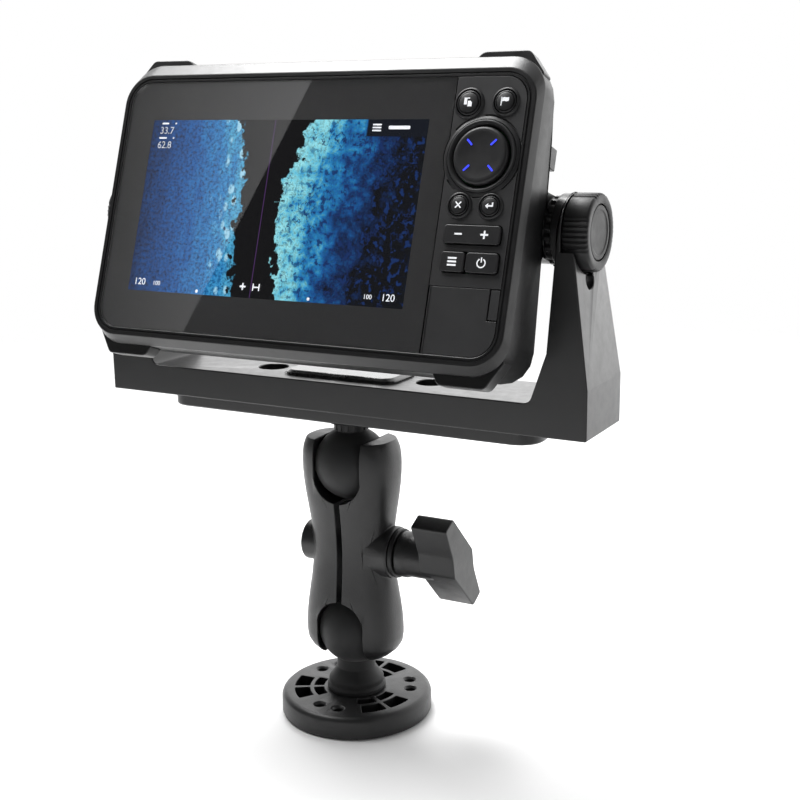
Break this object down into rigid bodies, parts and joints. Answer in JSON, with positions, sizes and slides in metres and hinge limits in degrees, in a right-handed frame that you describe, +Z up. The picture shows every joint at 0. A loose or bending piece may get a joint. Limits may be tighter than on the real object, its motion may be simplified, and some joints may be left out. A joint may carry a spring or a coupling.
{
  "type": "fish finder",
  "caption": "Display head with a keypad in a tilting gimbal bracket, carried by a double ball-socket arm on a round screw-down base plate.",
  "frame": {"origin": "centre of the base plate's underside, where it meets the deck", "axes": "+Z up along the arm, the screen faces -Y, +X to the right of someone who faces the screen"},
  "size_m": [0.2708, 0.1053, 0.338],
  "materials": {
    "mount_body": "black glass-filled moulding with a fine grain, satin",
    "mount_ball": "black rubber-coated ball, satin",
    "knob_plastic": "black moulding, satin, a little smoother on the grips",
    "bracket_plastic": "black moulding with a fine spark grain",
    "head_casing": "black casing, satin on the rim and grained behind",
    "key_panel": "charcoal moulding, matt",
    "key_rubber": "dark silicone rubber with white symbols",
    "light_guide": "clear guide lit blue",
    "cover_glass": "clear cover glass with a black printed border behind it",
    "display": "lit display with a side-scan picture",
    "circuit_board": "green lacquered board",
    "cast_chassis": "bare casting, bead blasted",
    "seal_rubber": "soft black rubber, matt",
    "steel": "stainless, turned and rolled",
    "insert_brass": "turned brass",
    "socket_plastic": "black threaded connector moulding"
  },
  "bodies": {
    "base": {"base_plate": "mount_body"},
    "lower_ball": {"lower_ball_stud": "mount_ball"},
    "arm": {"arm_half_left": "mount_body", "clamp_bolt": "steel", "arm_spring": "steel"},
    "arm_jaw": {"arm_half_right": "mount_body", "clamp_washer": "mount_body"},
    "clamp_knob": {"arm_knob": "knob_plastic", "knob_insert": "insert_brass"},
    "upper_ball": {"upper_ball_stud": "mount_ball"},
    "bracket": {"mount_plate": "mount_body", "plate_screw_left": "steel", "plate_screw_right": "steel", "gimbal_bracket": "bracket_plastic", "bracket_pad": "bracket_plastic"},
    "tilt_washer_left": {"side_washer_left": "steel"},
    "tilt_knob_left": {"side_knob_left": "knob_plastic", "side_stud_left": "steel", "side_cap_left": "knob_plastic"},
    "tilt_washer_right": {"side_washer_right": "steel"},
    "tilt_knob_right": {"side_knob_right": "knob_plastic", "side_stud_right": "steel", "side_cap_right": "knob_plastic"},
    "head": {"front_bezel": "head_casing", "rear_housing": "head_casing", "housing_gasket": "seal_rubber", "housing_screw_left_low": "steel", "housing_screw_left_high": "steel", "housing_screw_right_low": "steel", "housing_screw_right_high": "steel", "power_socket": "socket_plastic", "sonar_socket": "socket_plastic", "network_socket": "socket_plastic", "front_glass": "cover_glass", "lcd_panel": "display", "display_chassis": "cast_chassis", "main_board": "circuit_board", "keypad_panel": "key_panel", "keypad_board": "circuit_board", "cursor_ring": "key_panel", "door_latch": "key_panel", "card_reader": "key_panel", "ratchet_ring_left": "bracket_plastic", "ratchet_ring_right": "bracket_plastic"},
    "pages_button": {"pages_key": "key_rubber"},
    "waypoint_button": {"waypoint_key": "key_rubber"},
    "exit_button": {"exit_key": "key_rubber"},
    "enter_button": {"enter_key": "key_rubber"},
    "zoom_rocker": {"zoom_key": "key_rubber"},
    "menu_button": {"menu_key": "key_rubber"},
    "power_button": {"power_key": "key_rubber"},
    "cursor_gimbal": {"cursor_pivot": "key_rubber"},
    "cursor_button": {"cursor_pad": "key_rubber", "cursor_light": "light_guide"},
    "door": {"card_door": "key_panel"}
  },
  "joints": [
    {"name": "lower_swivel", "type": "hinge", "parent": "base", "child": "lower_ball", "pos_m": [0, 0, 0.046], "axis": [0, 0, 1], "continuous": true},
    {"name": "lower_tilt", "type": "hinge", "parent": "lower_ball", "child": "arm", "pos_m": [0, 0, 0.046], "axis": [1, 0, 0], "range_deg": [-60, 60]},
    {"name": "jaw_clamp", "type": "slide", "parent": "arm", "child": "arm_jaw", "axis": [1, 0, 0], "range_m": [0, 0.00156]},
    {"name": "clamp_knob_turn", "type": "hinge", "parent": "arm_jaw", "child": "clamp_knob", "pos_m": [0.045, 0, 0.091], "axis": [1, 0, 0], "range_deg": [0, 450]},
    {"name": "upper_tilt", "type": "hinge", "parent": "arm", "child": "upper_ball", "pos_m": [0, 0, 0.136], "axis": [1, 0, 0], "range_deg": [-60, 60]},
    {"name": "upper_swivel", "type": "hinge", "parent": "upper_ball", "child": "bracket", "pos_m": [0, 0, 0.136], "axis": [0, 0, 1], "continuous": true},
    {"name": "tilt_washer_left_slide", "type": "slide", "parent": "bracket", "child": "tilt_washer_left", "axis": [-1, 0, 0], "range_m": [0, 0.00224]},
    {"name": "tilt_knob_left_turn", "type": "hinge", "parent": "tilt_washer_left", "child": "tilt_knob_left", "pos_m": [-0.128, -0.005, 0.25885], "axis": [-1, 0, 0], "range_deg": [0, 540]},
    {"name": "tilt_washer_right_slide", "type": "slide", "parent": "bracket", "child": "tilt_washer_right", "axis": [1, 0, 0], "range_m": [0, 0.00224]},
    {"name": "tilt_knob_right_turn", "type": "hinge", "parent": "tilt_washer_right", "child": "tilt_knob_right", "pos_m": [0.128, -0.005, 0.25885], "axis": [1, 0, 0], "range_deg": [0, 540]},
    {"name": "head_tilt", "type": "hinge", "parent": "bracket", "child": "head", "pos_m": [0, -0.005, 0.25885], "axis": [1, 0, 0], "range_deg": [-45, 22]},
    {"name": "pages_press", "type": "slide", "parent": "head", "child": "pages_button", "axis": [0, 0.9472, -0.3206], "range_m": [0, 0.0008], "stiffness_N_per_m": 900},
    {"name": "waypoint_press", "type": "slide", "parent": "head", "child": "waypoint_button", "axis": [0, 0.9472, -0.3206], "range_m": [0, 0.0008], "stiffness_N_per_m": 900},
    {"name": "exit_press", "type": "slide", "parent": "head", "child": "exit_button", "axis": [0, 0.9472, -0.3206], "range_m": [0, 0.0008], "stiffness_N_per_m": 900},
    {"name": "enter_press", "type": "slide", "parent": "head", "child": "enter_button", "axis": [0, 0.9472, -0.3206], "range_m": [0, 0.0008], "stiffness_N_per_m": 900},
    {"name": "menu_press", "type": "slide", "parent": "head", "child": "menu_button", "axis": [0, 0.9472, -0.3206], "range_m": [0, 0.0008], "stiffness_N_per_m": 900},
    {"name": "power_press", "type": "slide", "parent": "head", "child": "power_button", "axis": [0, 0.9472, -0.3206], "range_m": [0, 0.0008], "stiffness_N_per_m": 900},
    {"name": "zoom_rock", "type": "hinge", "parent": "head", "child": "zoom_rocker", "pos_m": [0.0909, -0.04655, 0.25993], "axis": [0, 0.3206, 0.9472], "range_deg": [-3, 3], "stiffness_Nm_per_rad": 0.08},
    {"name": "cursor_rock_up_down", "type": "hinge", "parent": "head", "child": "cursor_gimbal", "pos_m": [0.0901, -0.03391, 0.29228], "axis": [1, 0, 0], "range_deg": [-3, 3], "stiffness_Nm_per_rad": 0.08},
    {"name": "cursor_rock_left_right", "type": "hinge", "parent": "cursor_gimbal", "child": "cursor_button", "pos_m": [0.0901, -0.03391, 0.29228], "axis": [0, 0.3206, 0.9472], "range_deg": [-3, 3], "stiffness_Nm_per_rad": 0.08},
    {"name": "door_swing", "type": "hinge", "parent": "head", "child": "door", "pos_m": [0.0745, -0.05867, 0.22317], "axis": [0, -0.3206, -0.9472], "range_deg": [0, 104]}
  ],
  "couplings": [
    {"joint": "clamp_knob_turn", "follows": "jaw_clamp", "rad_per_m": 5026.5},
    {"joint": "tilt_knob_left_turn", "follows": "tilt_washer_left_slide", "rad_per_m": 4188.8},
    {"joint": "tilt_knob_right_turn", "follows": "tilt_washer_right_slide", "rad_per_m": 4188.8}
  ]
}
